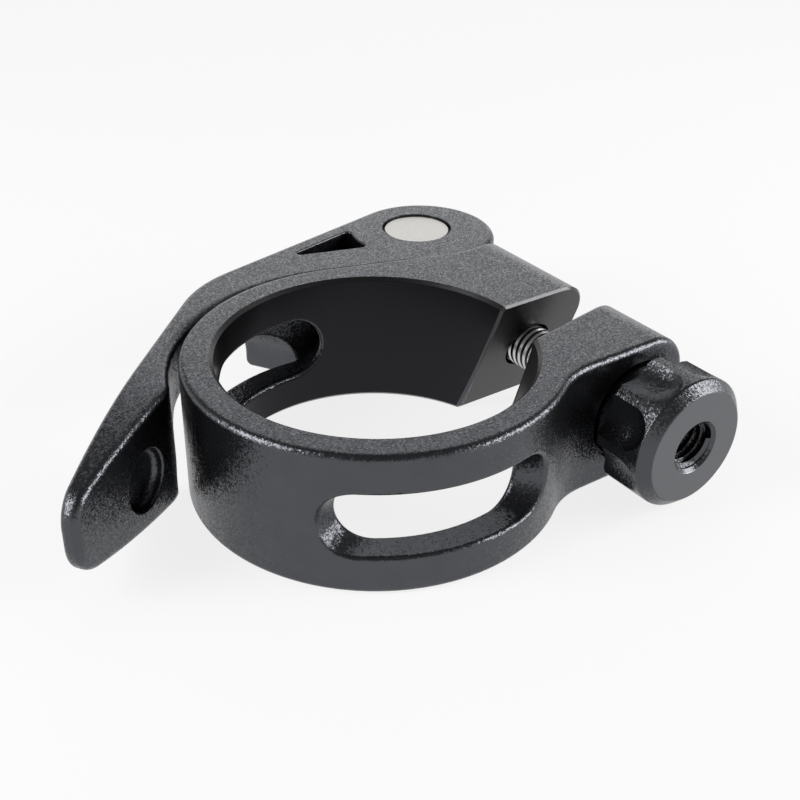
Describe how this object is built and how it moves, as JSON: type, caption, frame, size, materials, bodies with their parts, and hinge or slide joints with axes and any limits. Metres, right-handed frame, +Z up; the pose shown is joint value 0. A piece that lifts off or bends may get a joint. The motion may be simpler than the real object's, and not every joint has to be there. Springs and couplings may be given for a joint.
{
  "type": "quick-release seatpost clamp",
  "caption": "Split ring collar with ears drawn together by a cam lever and a fluted thumb nut, to clamp a seatpost in a bicycle's seat tube.",
  "frame": {"origin": "centre of the bore at the collar's bottom face", "axes": "+Z up the bore, +X towards the ears and the slit, +Y towards the lever's cam head"},
  "size_m": [0.0651, 0.0541, 0.015],
  "materials": {
    "collar_black": "bead-blasted black anodised",
    "lever_black": "bead-blasted black anodised",
    "bare_pin": "turned, bare",
    "bolt_steel": "rolled thread, grey",
    "nut_black": "satin black anodised"
  },
  "bodies": {
    "collar": {"collar": "collar_black", "cam_pin": "bare_pin", "clamp_bolt": "bolt_steel"},
    "lever": {"lever": "lever_black"},
    "thumb_nut": {"thumb_nut": "nut_black"}
  },
  "joints": [
    {"name": "lever_swing", "type": "hinge", "parent": "collar", "child": "lever", "pos_m": [0.0223, 0.0239, 0.0075], "axis": [0, 0, -1], "range_deg": [0, 180]},
    {"name": "nut_turn", "type": "hinge", "parent": "collar", "child": "thumb_nut", "pos_m": [0.0223, -0.018, 0.0075], "axis": [0, -1, 0], "continuous": true}
  ]
}
